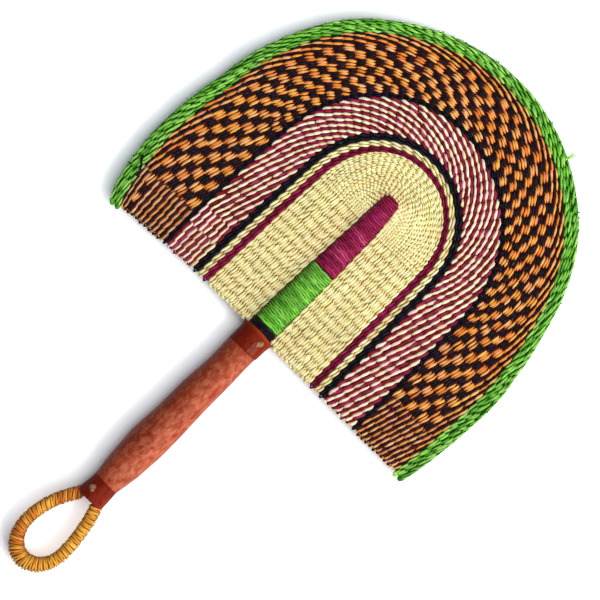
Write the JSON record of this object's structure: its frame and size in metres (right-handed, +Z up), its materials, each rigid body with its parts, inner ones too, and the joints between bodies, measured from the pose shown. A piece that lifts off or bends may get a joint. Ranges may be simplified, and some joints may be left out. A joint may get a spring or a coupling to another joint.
{
  "type": "woven hand fan",
  "caption": "Round-topped hand fan of twined coloured grass on a wrapped spine, with a leather covered grip and a wound hanging loop.",
  "frame": {"origin": "on the floor, under the middle of the fan's box as it lies flat on its back", "axes": "+X across the blade, +Y from the loop to the blade's tip, +Z up out of the pictured face"},
  "size_m": [0.258, 0.4184, 0.0242],
  "materials": {
    "natural_grass": "matte",
    "maroon_grass": "matte",
    "black_grass": "matte",
    "striped_grass": "matte",
    "check_grass": "matte",
    "orange_grass": "matte",
    "green_grass": "matte",
    "purple_grass": "matte",
    "golden_grass": "matte",
    "straw": "matte",
    "tan_leather": "satin",
    "dark_leather": "satin",
    "tie_leather": "satin"
  },
  "bodies": {
    "root": {"natural_field": "natural_grass", "maroon_line": "maroon_grass", "natural_ring": "natural_grass", "black_ring": "black_grass", "striped_band": "striped_grass", "black_check_ring": "black_grass", "check_band": "check_grass", "orange_rim": "orange_grass", "green_border": "green_grass", "stakes": "straw", "black_wrap": "black_grass", "green_wrap": "green_grass", "purple_wrap": "purple_grass", "straw_bundle": "straw", "leather_grip": "tan_leather", "upper_collar": "dark_leather", "lower_collar": "dark_leather", "upper_tie": "tie_leather", "lower_tie": "tie_leather", "loop_core": "straw", "loop_winding": "golden_grass"}
  },
  "joints": []
}
